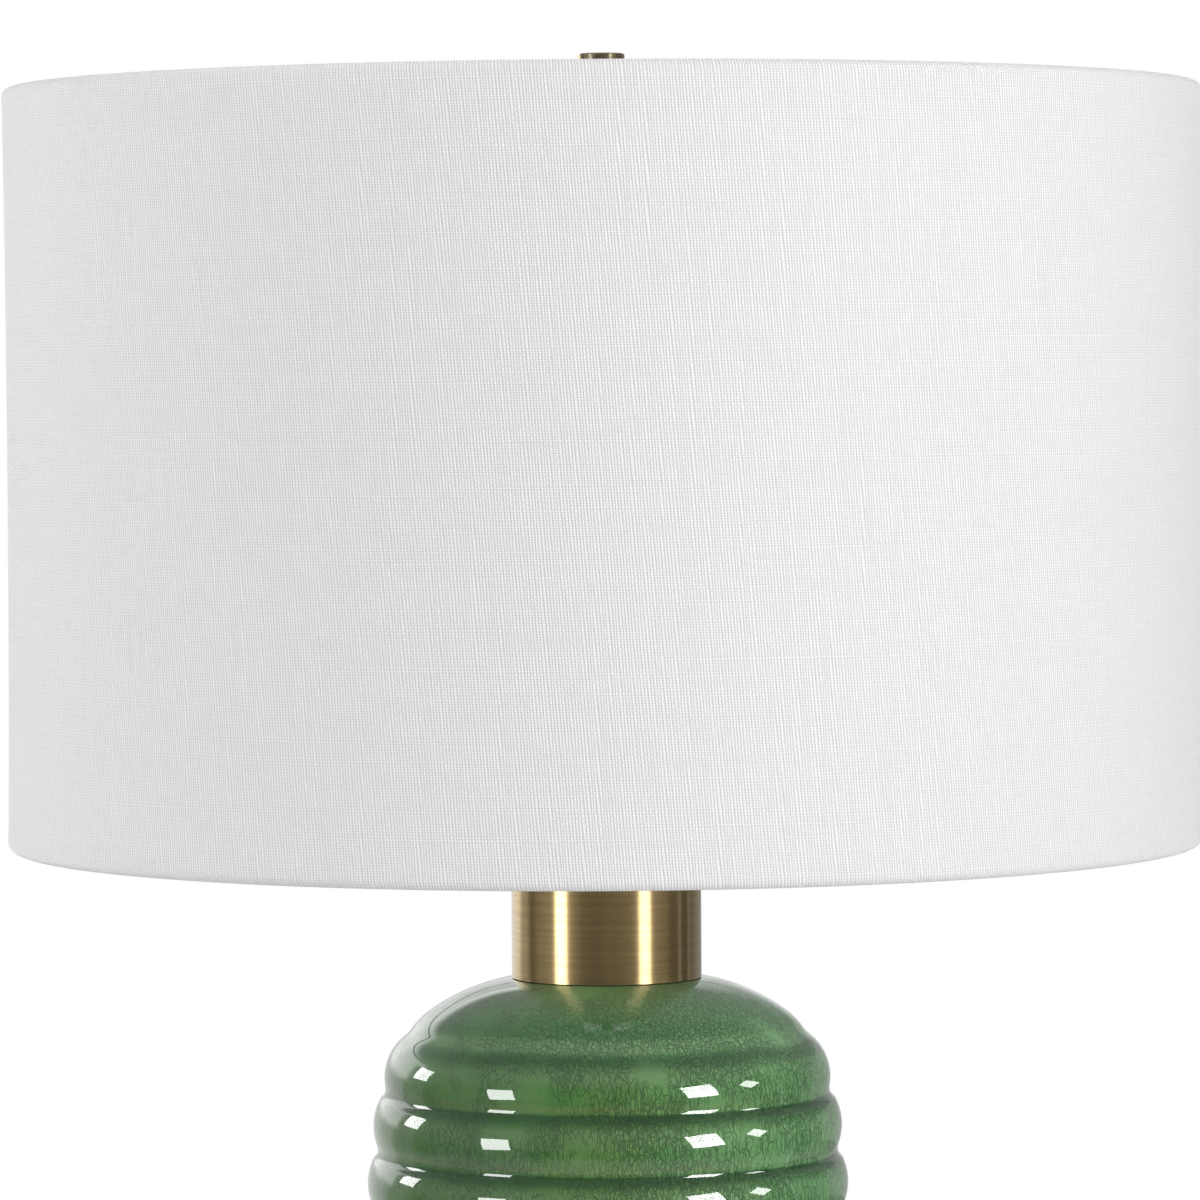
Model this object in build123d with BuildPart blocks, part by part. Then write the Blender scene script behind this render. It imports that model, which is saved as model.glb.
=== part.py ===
"""Ginger jar table lamp: a ribbed ceramic jar between a brass foot and a brass neck, held together by
one threaded pipe, with a turn-knob socket, a bulb, a harp and a linen drum shade.

Millimetres, +Z up. The origin lies on the table under the middle of the lamp. The harp stands in the
XZ plane, the switch knob points to -Y (the front) and the cord's inlet faces +Y (the back).
"""

import os
from math import cos, radians, sin, sqrt

from build123d import *

# ---------------------------------------------------------------- sizes

# Fits. "running" is for what turns or slides, "slip" for what is only pushed together.
running_fit = 0.08
slip_fit = 0.2

# Foot
foot_radius = 59.0
foot_height = 22.0
foot_sheet = 1.2
foot_edge_round = 1.6
foot_rim_gap = 1.5
pad_radius = 6.0
pad_height = 2.5
pad_count = 4
pad_inset = 12.0
cover_thickness = 2.0
weight_inset = 14.0
weight_thickness = 9.0
gasket_thickness = 1.5
gasket_width = 14.0

# Cord inlet in the back of the foot
inlet_bore_radius = 3.6
inlet_sleeve_wall = 1.8
inlet_flange_wall = 3.2
inlet_flange_thickness = 1.6
inlet_sleeve_length = 9.0
inlet_barb_height = 0.8
inlet_barb_depth = 1.8
inlet_barb_taper = 20.0
inlet_height = 11.0

# Jar: the grooves lie on one long belly arc, and every rib is an arc from groove to groove.
jar_height = 270.0
jar_wall = 5.5
jar_mouth_radius = 20.0
jar_floor_hole_radius = 9.0
jar_foot_radius = 55.5
jar_foot_band = 6.0
jar_foot_chamfer = 1.0
belly_radius = 80.8
belly_drop = 108.0
groove_drop = 19.0
groove_inset = 12.9
groove_round = 4.5
first_groove_round = 8.0
first_rib_height = 19.2
rib_pitch = 20.3
rib_bulge = 3.0
first_rib_bulge = 3.4
foot_rib_bulge = 1.0
shoulder_bulge = 1.8
shoulder_turn = (6.9, 7.5)
inner_shoulder_bulge = 4.0

# Threaded pipe, 1/8 IP size, and what is screwed on it
pipe_radius = 5.15
pipe_bore_radius = 3.4
pipe_tail = 2.0
bottom_nut_height = 4.0
bottom_nut_radius = 9.5
bottom_washer_radius = 16.0
bottom_washer_thickness = 1.6
lock_nut_height = 3.5
lock_nut_radius = 9.0

# Neck
neck_radius = 32.4
neck_height = 67.2
neck_sheet = 1.0
neck_gasket_thickness = 0.8
neck_gasket_width = 4.2
neck_gasket_inset = 0.3
neck_cap_thickness = 2.5
neck_cap_spigot = 3.0
neck_cap_round = 0.8
centering_washer_thickness = 1.5

# Harp saddle, harp and ferrules
saddle_reach = 29.7
saddle_sheet = 2.4
saddle_width = 14.0
saddle_arm_width = 10.0
saddle_bend = 4.0
saddle_rise = 12.0
harp_width = 5.0
post_height = 14.0
ferrule_length = 16.0
ferrule_wall = 1.0
harp_height = 207.2
harp_straight = 38.0
harp_flare_height = 80.0
harp_half_width = 57.0
harp_crown_flat = 16.0
stud_flange_radius = 6.5
stud_flange_thickness = 1.8
stud_radius = 3.175
stud_rivet_share = 0.6
stud_length = 13.0

# Socket
socket_hub_radius = 8.0
socket_hub_height = 8.0
socket_cap_height = 21.0
socket_cap_sheet = 0.6
socket_cap_straight = 5.0
socket_bowl_lap = 2.0
socket_clearance = 1.1
socket_shell_sheet = 0.5
socket_shell_height = 45.0
socket_overlap = 3.0
socket_bead_radius = 0.9
liner_thickness = 0.4
socket_body_height = 23.6
socket_body_drop = 5.4
terminal_flat_depth = 2.6
terminal_rise = 7.0
terminal_head_radius = 3.0
terminal_head_thickness = 1.6
terminal_shank_radius = 1.6
terminal_shank_length = 4.0
screw_shell_fit = 0.25
screw_shell_sheet = 0.4
screw_shell_height = 23.4
screw_shell_ledge = 4.0
contact_rise = 2.0
contact_sheet = 0.4
contact_width = 6.0
contact_length = 13.0
set_screw_radius = 1.5
set_screw_length = 3.4
set_screw_height = 3.2

# Switch knob on the front of the socket
knob_rise = 9.0
shaft_radius = 1.6
shaft_depth = 8.0
knob_hole_radius = 3.0
knob_gap = 2.4
knob_length = 17.0
knob_bore_depth = 11.0
knob_radius = 5.0
knob_flutes = 16
knob_flute_radius = 0.55
knob_taper = 1.0

# Bulb, type A19 with an E26 cap
bulb_radius = 30.0
bulb_length = 107.0
bulb_glass = 0.8
bulb_cement_gap = 0.3
bulb_flare_radius = 60.0
bulb_cap_radius = 13.1
bulb_cap_sheet = 0.5
bulb_cap_height = 23.0
bulb_skirt_height = 3.5
bulb_skirt_flare = 0.7
bulb_tip_radius = 4.2
bulb_tip_height = 1.2
bulb_insulator_height = 2.0
bulb_insulator_taper = 60.0
bulb_tip_taper = 45.0
bulb_stem_height = 30.0
bulb_stem_radius = 3.0
bulb_lead_radius = 0.45
bulb_lead_spread = 13.0
bulb_lead_rise = 16.0
filament_radius = 0.5
filament_sag = 3.0

# Shade
shade_radius = 203.2
shade_height = 257.5
linen_thickness = 0.6
styrene_thickness = 0.6
ring_wire_radius = 2.0
spider_drop = 13.6
spider_arm_radius = 1.6
spider_angles = (90, 210, 330)
spider_bend_radius = 4.0
spider_step = 14.0
hub_radius = 11.0
hub_thickness = 1.6
hub_hole_fit = 0.35
hub_arm_lift = 0.2
hub_collar_gap = 0.8
notch_margin = 1.0

# Finial
finial_radius = 7.95
finial_head_height = 5.4
finial_height = 23.4
finial_waist_radius = 4.8
finial_base_radius = 7.2
finial_base_height = 3.2
finial_chamfer = 0.5
finial_top_thickness = 7.0

# ---------------------------------------------------------------- heights, from the table up

foot_top = foot_rim_gap + foot_height
foot_ceiling = foot_top - foot_sheet
weight_bottom = foot_ceiling - weight_thickness
bottom_washer_bottom = weight_bottom - bottom_washer_thickness
bottom_nut_bottom = bottom_washer_bottom - bottom_nut_height
pipe_bottom = bottom_nut_bottom - pipe_tail

jar_bottom = foot_top + gasket_thickness
jar_top = jar_bottom + jar_height
neck_bottom = jar_top + neck_gasket_thickness
neck_top = neck_bottom + neck_height
neck_cap_top = neck_top + neck_cap_thickness

saddle_top = neck_cap_top + saddle_sheet
ledge_top = neck_cap_top + saddle_rise
socket_bottom = saddle_top + lock_nut_height
socket_rim = socket_bottom + socket_cap_height
shell_bottom = socket_rim - socket_overlap
shell_top = shell_bottom + socket_shell_height
body_bottom = shell_bottom - socket_body_drop
body_top = body_bottom + socket_body_height
knob_height = shell_bottom + knob_rise
contact_top = body_top + contact_rise
pipe_top = socket_bottom + socket_hub_height - 1.0

seat_top = ledge_top + harp_height
crown_top = seat_top - stud_flange_thickness
hub_top = seat_top + hub_thickness
shade_top = seat_top + spider_drop
shade_bottom = shade_top - shade_height

# ---------------------------------------------------------------- radii that follow the bulb's cap

bulb_neck_radius = bulb_cap_radius - bulb_cap_sheet - bulb_cement_gap
bulb_skirt_radius = bulb_cap_radius + bulb_skirt_flare
screw_shell_bore = bulb_cap_radius + screw_shell_fit
screw_shell_radius = screw_shell_bore + screw_shell_sheet
liner_radius = screw_shell_radius + socket_clearance + liner_thickness
shell_inner_radius = liner_radius + slip_fit / 4
socket_shell_radius = shell_inner_radius + socket_shell_sheet

# ---------------------------------------------------------------- shapes used more than once


def plain_ring(outer, inner, bottom, height):
    """A flat ring or tube about the lamp's axis."""
    with BuildPart() as ring:
        with BuildSketch(Plane.XY.offset(bottom)):
            Circle(outer)
            Circle(inner, mode=Mode.SUBTRACT)
        extrude(amount=height)
    return ring


def hex_nut(across_corners, height, bottom):
    """A hexagon nut on the pipe, with the corners of both faces turned off."""
    with BuildPart() as nut:
        with BuildSketch(Plane.XY.offset(bottom)):
            RegularPolygon(across_corners, 6)
        extrude(amount=height)
        with BuildSketch(Plane.XZ):
            with BuildLine():
                corner = across_corners
                bevel = corner - across_corners * cos(radians(30))
                Polyline(
                    (0, bottom),
                    (corner - bevel, bottom),
                    (corner, bottom + bevel / 2),
                    (corner, bottom + height - bevel / 2),
                    (corner - bevel, bottom + height),
                    (0, bottom + height),
                    close=True,
                )
            make_face()
        revolve(axis=Axis.Z, mode=Mode.INTERSECT)
        with BuildSketch(Plane.XY.offset(bottom)):
            Circle(pipe_radius + slip_fit)
        extrude(amount=height, mode=Mode.SUBTRACT)
    return nut


# ---------------------------------------------------------------- foot

# Spun brass drum, open below, with a hole for the cord in its back wall.
foot_inner_radius = foot_radius - foot_sheet
inlet_sleeve_radius = inlet_bore_radius + inlet_sleeve_wall
with BuildPart() as brass_foot:
    with BuildSketch(Plane.XY.offset(foot_rim_gap)):
        Circle(foot_radius)
    extrude(amount=foot_height)
    fillet(brass_foot.edges().group_by(Axis.Z)[-1], foot_edge_round)
    with BuildSketch(Plane.XY.offset(foot_rim_gap)):
        Circle(foot_inner_radius)
    extrude(amount=foot_height - foot_sheet, mode=Mode.SUBTRACT)
    with BuildSketch(Plane.XY.offset(foot_ceiling)):
        Circle(pipe_radius + slip_fit)
    extrude(amount=foot_sheet, mode=Mode.SUBTRACT)
    with BuildSketch(Plane.XZ.offset(-foot_radius / 2)):
        with Locations((0, inlet_height)):
            Circle(inlet_sleeve_radius + slip_fit / 2)
    extrude(amount=-foot_radius, mode=Mode.SUBTRACT)

# Plastic snap bushing: a flange outside the wall and a barb ring behind it.
with BuildPart() as cord_bushing:
    with BuildSketch(Plane.XZ.offset(-foot_radius)):
        with Locations((0, inlet_height)):
            Circle(inlet_bore_radius + inlet_flange_wall)
    extrude(amount=-inlet_flange_thickness)
    fillet(cord_bushing.edges().group_by(Axis.Y)[-1], inlet_flange_thickness / 2)
    with BuildSketch(Plane.XZ.offset(-foot_radius)):
        with Locations((0, inlet_height)):
            Circle(inlet_sleeve_radius)
    extrude(amount=inlet_sleeve_length - inlet_flange_thickness)
    with BuildSketch(Plane.XZ.offset(inlet_barb_depth - foot_radius)):
        with Locations((0, inlet_height)):
            Circle(inlet_sleeve_radius + inlet_barb_height)
    extrude(amount=2 * inlet_barb_height, taper=inlet_barb_taper)
    with BuildSketch(Plane.XZ.offset(-foot_radius - inlet_flange_thickness)):
        with Locations((0, inlet_height)):
            Circle(inlet_bore_radius)
    extrude(amount=inlet_sleeve_length, mode=Mode.SUBTRACT)

foot_weight = plain_ring(
    foot_radius - weight_inset, pipe_radius + slip_fit, weight_bottom, weight_thickness
)
bottom_washer = plain_ring(
    bottom_washer_radius, pipe_radius + slip_fit, bottom_washer_bottom, bottom_washer_thickness
)
bottom_nut = hex_nut(bottom_nut_radius, bottom_nut_height, bottom_nut_bottom)

# Board pressed into the drum from below; the rubber pads are stuck to it.
with BuildPart() as foot_cover:
    with BuildSketch(Plane.XY.offset(pad_height)):
        Circle(foot_inner_radius - slip_fit)
    extrude(amount=cover_thickness)

with BuildPart() as foot_pads:
    with BuildSketch(Plane.XY):
        with PolarLocations(foot_radius - pad_inset, pad_count, start_angle=45):
            Circle(pad_radius)
    extrude(amount=pad_height)
    chamfer(foot_pads.edges().group_by(Axis.Z)[0], pad_height / 4)

foot_gasket = plain_ring(
    jar_foot_radius - jar_foot_chamfer,
    jar_foot_radius - gasket_width,
    foot_top,
    gasket_thickness,
)

threaded_pipe = plain_ring(pipe_radius, pipe_bore_radius, pipe_bottom, pipe_top - pipe_bottom)

# ---------------------------------------------------------------- jar

first_groove = jar_top - groove_drop
second_groove = first_groove - first_rib_height
rib_count = 1 + int((second_groove - jar_bottom - jar_foot_band) // rib_pitch)
groove_heights = [first_groove] + [second_groove - rib_pitch * n for n in range(rib_count)]
belly_height = jar_top - belly_drop
belly_fall = belly_height - groove_heights[-1]
belly_narrowing = belly_radius - jar_foot_radius
belly_arc = (belly_fall**2 + belly_narrowing**2) / (2 * belly_narrowing)


def belly(height):
    """Radius of the arc that the grooves below the shoulder lie on."""
    return belly_radius - belly_arc + sqrt(belly_arc**2 - (height - belly_height) ** 2)


shoulder_groove = (belly_radius - groove_inset, first_groove)
grooves = [shoulder_groove] + [(belly(height), height) for height in groove_heights[1:]]
shoulder = (shoulder_groove[0] - shoulder_turn[0], first_groove + shoulder_turn[1])
neck_seat_radius = neck_radius + slip_fit
inner_floor = jar_bottom + jar_wall
inner_wall = belly(inner_floor) - jar_wall

with BuildPart() as jar:
    with BuildSketch(Plane.XZ) as jar_section:
        with BuildLine():
            Line((jar_mouth_radius, jar_top), (neck_seat_radius, jar_top))
            dome = SagittaArc((neck_seat_radius, jar_top), shoulder, shoulder_bulge)
            TangentArc(shoulder, shoulder_groove, tangent=dome % 1)
            for n in range(rib_count):
                SagittaArc(grooves[n], grooves[n + 1], first_rib_bulge if n == 0 else rib_bulge)
            foot_edge = (grooves[-1][0] - jar_foot_chamfer, jar_bottom)
            SagittaArc(grooves[-1], foot_edge, foot_rib_bulge)
            Line(foot_edge, (jar_floor_hole_radius, jar_bottom))
            Line((jar_floor_hole_radius, jar_bottom), (jar_floor_hole_radius, inner_floor))
            Line((jar_floor_hole_radius, inner_floor), (inner_wall, inner_floor))
            ThreePointArc(
                (inner_wall, inner_floor),
                (belly_radius - jar_wall, belly_height),
                (shoulder_groove[0] - jar_wall, first_groove - jar_wall),
            )
            SagittaArc(
                (shoulder_groove[0] - jar_wall, first_groove - jar_wall),
                (jar_mouth_radius, jar_top - jar_wall),
                -inner_shoulder_bulge,
            )
            Line((jar_mouth_radius, jar_top - jar_wall), (jar_mouth_radius, jar_top))
        make_face()
        for n, groove in enumerate(grooves):
            corner = jar_section.vertices().sort_by_distance(Vector(*groove))[0]
            fillet(corner, first_groove_round if n == 0 else groove_round)
    revolve(axis=Axis.Z)

# ---------------------------------------------------------------- neck

neck_inner_radius = neck_radius - neck_sheet
neck_gasket = plain_ring(
    neck_radius - neck_gasket_inset,
    neck_radius - neck_gasket_inset - neck_gasket_width,
    jar_top,
    neck_gasket_thickness,
)
neck_washer = plain_ring(
    neck_inner_radius - slip_fit, pipe_radius + slip_fit, neck_bottom, centering_washer_thickness
)
neck_tube = plain_ring(neck_radius, neck_inner_radius, neck_bottom, neck_height)

with BuildPart() as neck_cap:
    with BuildSketch(Plane.XY.offset(neck_top)):
        Circle(neck_radius)
    extrude(amount=neck_cap_thickness)
    fillet(neck_cap.edges().group_by(Axis.Z)[-1], neck_cap_round)
    with BuildSketch(Plane.XY.offset(neck_top)):
        Circle(neck_inner_radius - slip_fit)
    extrude(amount=-neck_cap_spigot)
    with BuildSketch(Plane.XY.offset(neck_cap_top)):
        Circle(pipe_radius + slip_fit)
    extrude(amount=-(neck_cap_thickness + neck_cap_spigot), mode=Mode.SUBTRACT)

# ---------------------------------------------------------------- harp saddle, harp, ferrules

leg_start = saddle_reach + slip_fit
leg_middle = leg_start + saddle_sheet / 2
ferrule_middle = saddle_reach + slip_fit / 2
ferrule_bore = sqrt((saddle_sheet + slip_fit / 2) ** 2 + (harp_width / 2) ** 2) + slip_fit

# Pressed strip: a flat seat on the neck cap, two arms bent up, each with a ledge and a narrow post.
with BuildPart() as harp_saddle:
    with BuildSketch(Plane.XZ.offset(-saddle_arm_width / 2)) as strip:
        with Locations((0, neck_cap_top + saddle_rise / 2)):
            Rectangle(2 * saddle_reach, saddle_rise)
        bottom_corners = strip.vertices().group_by(Axis.Y)[0]
        fillet(bottom_corners, saddle_bend)
        with Locations((0, neck_cap_top + saddle_sheet + saddle_rise / 2)):
            Rectangle(2 * (saddle_reach - saddle_sheet), saddle_rise, mode=Mode.SUBTRACT)
    extrude(amount=saddle_arm_width)
    for side in (-1, 1):
        with BuildSketch(Plane.XY.offset(ledge_top)):
            with Locations((side * ferrule_middle, 0)):
                Rectangle(2 * saddle_sheet + slip_fit, saddle_arm_width)
        extrude(amount=-saddle_sheet)
        with BuildSketch(Plane.XY.offset(ledge_top)):
            with Locations((side * (saddle_reach - saddle_sheet / 2), 0)):
                Rectangle(saddle_sheet, harp_width)
        extrude(amount=post_height)
    with BuildSketch(Plane.XY.offset(neck_cap_top)):
        Circle(saddle_width / 2 + saddle_sheet)
    extrude(amount=saddle_sheet)
    with BuildSketch(Plane.XY.offset(neck_cap_top)):
        Circle(pipe_radius + slip_fit)
    extrude(amount=saddle_sheet, mode=Mode.SUBTRACT)

# The harp is one flat bar. Each side stands straight in its ferrule, leans out in two equal arcs to
# clear the bulb, and closes over it in a quarter ellipse that ends in the flat crown.
crown_middle = crown_top - saddle_sheet / 2
flare_start = ledge_top + harp_straight
flare_end = flare_start + harp_flare_height
flare_middle = (leg_middle + harp_half_width) / 2
with BuildPart() as harp:
    with BuildLine(Plane.XZ) as right_side:
        leg = Line((leg_middle, ledge_top), (leg_middle, flare_start))
        lean = TangentArc(
            leg @ 1, (flare_middle, (flare_start + flare_end) / 2), tangent=leg % 1
        )
        widest = TangentArc(lean @ 1, (harp_half_width, flare_end), tangent=lean % 1)
        crown_end = harp_crown_flat / 2
        EllipticalCenterArc(
            (crown_end, flare_end),
            harp_half_width - crown_end,
            crown_middle - flare_end,
            start_angle=0,
            arc_size=90,
        )
        Line((crown_end, crown_middle), (0, crown_middle))
    with BuildSketch(Plane.XY.offset(ledge_top)):
        with Locations((leg_middle, 0)):
            RectangleRounded(saddle_sheet, harp_width, saddle_sheet / 4)
    sweep(path=right_side.wires()[0])
    mirror(about=Plane.YZ)
    with BuildSketch(Plane.XY.offset(crown_middle - saddle_sheet)):
        Circle(stud_radius * stud_rivet_share)
    extrude(amount=2 * saddle_sheet, mode=Mode.SUBTRACT)

# Riveted through the crown; the shade's hub stands on its flange.
with BuildPart() as harp_stud:
    with BuildSketch(Plane.XY.offset(crown_top)):
        Circle(stud_flange_radius)
    extrude(amount=stud_flange_thickness)
    with BuildSketch(Plane.XY.offset(seat_top)):
        Circle(stud_radius)
    extrude(amount=stud_length)
    chamfer(harp_stud.edges().group_by(Axis.Z)[-1], stud_radius / 5)
    with BuildSketch(Plane.XY.offset(crown_top)):
        Circle(stud_radius * stud_rivet_share)
    extrude(amount=-saddle_sheet)
    with BuildSketch(Plane.XY.offset(crown_top - saddle_sheet)):
        Circle(stud_radius)
    extrude(amount=-saddle_sheet / 3)

ferrules = {}
for name, side in (("ferrule_left", -1), ("ferrule_right", 1)):
    with BuildPart() as ferrule:
        with BuildSketch(Plane.XY.offset(ledge_top)):
            with Locations((side * ferrule_middle, 0)):
                Circle(ferrule_bore + ferrule_wall)
                Circle(ferrule_bore, mode=Mode.SUBTRACT)
        extrude(amount=ferrule_length)
        chamfer(ferrule.edges().group_by(Axis.Z)[-1].sort_by(SortBy.LENGTH)[-1], ferrule_wall / 2)
    ferrules[name] = ferrule

lock_nut = hex_nut(lock_nut_radius, lock_nut_height, saddle_top)

# ---------------------------------------------------------------- socket

# Cap: a threaded hub under a spun bowl.
cap_inner_radius = socket_shell_radius + slip_fit / 2
cap_radius = cap_inner_radius + socket_cap_sheet
hub_end = socket_bottom + socket_hub_height
bowl_bottom = hub_end - socket_bowl_lap
bowl_top = socket_rim - socket_cap_straight
with BuildPart() as socket_cap:
    with BuildSketch(Plane.XZ):
        with BuildLine():
            Polyline(
                (socket_hub_radius, bowl_bottom),
                (socket_hub_radius, socket_bottom),
                (pipe_radius + running_fit, socket_bottom),
                (pipe_radius + running_fit, hub_end),
                (socket_hub_radius, hub_end),
                (socket_hub_radius, bowl_bottom + socket_cap_sheet),
            )
            TangentArc(
                (cap_inner_radius, bowl_top),
                (socket_hub_radius, bowl_bottom + socket_cap_sheet),
                tangent=(0, -1),
            )
            Polyline(
                (cap_inner_radius, bowl_top),
                (cap_inner_radius, socket_rim),
                (cap_radius, socket_rim),
                (cap_radius, bowl_top),
            )
            TangentArc((cap_radius, bowl_top), (socket_hub_radius, bowl_bottom), tangent=(0, -1))
        make_face()
    revolve(axis=Axis.Z)
    with BuildSketch(Plane.XZ):
        with Locations((0, socket_bottom + set_screw_height)):
            Circle(set_screw_radius + running_fit)
    extrude(amount=-2 * socket_hub_radius, mode=Mode.SUBTRACT)

with BuildPart() as set_screw:
    with BuildSketch(Plane.XZ.offset(-pipe_radius)):
        with Locations((0, socket_bottom + set_screw_height)):
            Circle(set_screw_radius)
    extrude(amount=-set_screw_length)
    with BuildSketch(Plane.XZ.offset(-pipe_radius - set_screw_length)):
        with Locations((0, socket_bottom + set_screw_height)):
            Rectangle(2 * set_screw_radius, set_screw_radius / 3)
    extrude(amount=set_screw_radius / 2, mode=Mode.SUBTRACT)

# Shell: a drawn tube with a rolled bead near its mouth and a hole for the switch's shaft.
with BuildPart() as socket_shell:
    with BuildSketch(Plane.XY.offset(shell_bottom)):
        Circle(socket_shell_radius)
    extrude(amount=socket_shell_height)
    with BuildSketch(Plane.XZ):
        with Locations((socket_shell_radius, shell_top - 3 * socket_bead_radius)):
            Circle(socket_bead_radius)
    revolve(axis=Axis.Z)
    with BuildSketch(Plane.XY.offset(shell_bottom)):
        Circle(shell_inner_radius)
    extrude(amount=socket_shell_height, mode=Mode.SUBTRACT)
    with BuildSketch(Plane.XZ):
        with Locations((0, knob_height)):
            Circle(knob_hole_radius)
    extrude(amount=2 * socket_shell_radius, mode=Mode.SUBTRACT)

with BuildPart() as paper_liner:
    with BuildSketch(Plane.XY.offset(shell_bottom)):
        Circle(liner_radius)
        Circle(liner_radius - liner_thickness, mode=Mode.SUBTRACT)
    extrude(amount=socket_shell_height - socket_shell_sheet)
    with BuildSketch(Plane.XZ):
        with Locations((0, knob_height)):
            Circle(knob_hole_radius)
    extrude(amount=2 * socket_shell_radius, mode=Mode.SUBTRACT)

# Insulating body, with a flat each side for a terminal screw and a bore for the switch's shaft.
body_radius = liner_radius - liner_thickness - slip_fit / 2
terminal_flat = body_radius - terminal_flat_depth
terminal_height = body_bottom + terminal_rise
with BuildPart() as socket_body:
    with BuildSketch(Plane.XY.offset(body_bottom)):
        Circle(body_radius)
    extrude(amount=body_top - body_bottom)
    with BuildSketch(Plane.XY.offset(body_bottom)):
        Circle(body_radius)
        Rectangle(2 * terminal_flat, 2 * body_radius, mode=Mode.SUBTRACT)
    extrude(amount=2 * terminal_rise, mode=Mode.SUBTRACT)
    with BuildSketch(Plane.XZ.offset(body_radius)):
        with Locations((0, knob_height)):
            Circle(shaft_radius + running_fit)
    extrude(amount=-shaft_depth, mode=Mode.SUBTRACT)
    with BuildSketch(Plane.YZ):
        with Locations((0, terminal_height)):
            Circle(terminal_shank_radius)
    extrude(amount=body_radius, both=True, mode=Mode.SUBTRACT)

with BuildPart() as terminal_screws:
    for side in (-1, 1):
        with BuildSketch(Plane.YZ.offset(side * terminal_flat)):
            with Locations((0, terminal_height)):
                Circle(terminal_shank_radius)
        extrude(amount=-side * terminal_shank_length)
        with BuildSketch(Plane.YZ.offset(side * terminal_flat)):
            with Locations((0, terminal_height)):
                Circle(terminal_head_radius)
        extrude(amount=side * terminal_head_thickness)

# Screw shell: a plain bore here for the bulb's cap, turned in at the bottom onto the body.
with BuildPart() as screw_shell:
    with BuildSketch(Plane.XY.offset(body_top)):
        Circle(screw_shell_radius)
    extrude(amount=screw_shell_height)
    with BuildSketch(Plane.XY.offset(body_top + screw_shell_sheet)):
        Circle(screw_shell_bore)
    extrude(amount=screw_shell_height, mode=Mode.SUBTRACT)
    with BuildSketch(Plane.XY.offset(body_top)):
        Circle(screw_shell_bore - screw_shell_ledge)
    extrude(amount=screw_shell_height, mode=Mode.SUBTRACT)

# Centre contact: a spring strip riveted at one end and bent up under the bulb's tip.
contact_end = -contact_length / 2
with BuildPart() as centre_contact:
    with BuildSketch(Plane.XZ.offset(-contact_width / 2)):
        with BuildLine() as contact_path:
            FilletPolyline(
                (contact_end, body_top + contact_sheet / 2),
                (contact_end / 2, body_top + contact_sheet / 2),
                (contact_end / 4, contact_top - contact_sheet / 2),
                (-contact_end, contact_top - contact_sheet / 2),
                radius=contact_sheet,
            )
        trace(contact_path.line, line_width=contact_sheet)
    extrude(amount=contact_width)

# ---------------------------------------------------------------- switch knob

knob_start = socket_shell_radius + knob_gap
with BuildPart() as switch_shaft:
    with BuildSketch(Plane.XZ.offset(body_radius - shaft_depth + slip_fit)):
        with Locations((0, knob_height)):
            Circle(shaft_radius)
    extrude(amount=knob_start + knob_bore_depth - (body_radius - shaft_depth) - slip_fit)

with BuildPart() as switch_knob:
    with BuildSketch(Plane.XZ.offset(knob_start)):
        with Locations((0, knob_height)):
            Circle(knob_radius)
            with PolarLocations(knob_radius, knob_flutes):
                Circle(knob_flute_radius, mode=Mode.SUBTRACT)
    extrude(amount=knob_length)
    with BuildSketch(Plane.XZ.offset(knob_start)):
        with Locations((0, knob_height)):
            Circle(shaft_radius)
    extrude(amount=knob_bore_depth, mode=Mode.SUBTRACT)
    with BuildSketch(Plane.XZ.offset(knob_start)) as knob_end:
        with Locations((0, knob_height)):
            Circle(knob_radius)
    extrude(amount=knob_length, taper=knob_taper, mode=Mode.INTERSECT)

# ---------------------------------------------------------------- bulb

bulb_bottom = contact_top
insulator_bottom = bulb_bottom + bulb_tip_height
bulb_cap_bottom = insulator_bottom + bulb_insulator_height
bulb_cap_top = bulb_cap_bottom + bulb_cap_height
bulb_middle = bulb_bottom + bulb_length - bulb_radius
bulb_neck_bottom = bulb_cap_bottom + bulb_cap_sheet


def bulb_body(inset):
    """The glass, filled: a round head that runs into the neck through one tangent arc."""
    head = bulb_radius - inset
    neck = bulb_neck_radius - inset
    bottom = bulb_neck_bottom + inset
    flare = bulb_flare_radius + inset
    drop = sqrt((head + flare) ** 2 - (neck + flare) ** 2)
    share = head / (head + flare)
    join = (share * (neck + flare), bulb_middle - share * drop)
    with BuildPart() as body:
        with BuildSketch(Plane.XZ):
            with BuildLine():
                Line((0, bottom), (neck, bottom))
                throat = Line((neck, bottom), (neck, bulb_middle - drop))
                curve = TangentArc(throat @ 1, join, tangent=(0, 1))
                TangentArc(curve @ 1, (0, bulb_middle + head), tangent=curve % 1)
                Line((0, bulb_middle + head), (0, bottom))
            make_face()
        revolve(axis=Axis.Z)
    return body.part


with BuildPart() as bulb_envelope:
    add(bulb_body(0))
    add(bulb_body(bulb_glass), mode=Mode.SUBTRACT)

skirt_bottom = bulb_cap_top - bulb_skirt_height
with BuildPart() as bulb_cap:
    with BuildSketch(Plane.XZ):
        with BuildLine():
            Polyline(
                (bulb_tip_radius, bulb_cap_bottom),
                (bulb_cap_radius - bulb_cap_sheet, bulb_cap_bottom),
                (bulb_cap_radius, bulb_cap_bottom + bulb_cap_sheet),
                (bulb_cap_radius, skirt_bottom),
                (bulb_skirt_radius, bulb_cap_top),
                (bulb_skirt_radius - bulb_cap_sheet, bulb_cap_top),
                (bulb_cap_radius - bulb_cap_sheet, skirt_bottom),
                (bulb_cap_radius - bulb_cap_sheet, bulb_cap_bottom + bulb_cap_sheet),
                (bulb_tip_radius, bulb_cap_bottom + bulb_cap_sheet),
                close=True,
            )
        make_face()
    revolve(axis=Axis.Z)

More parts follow.
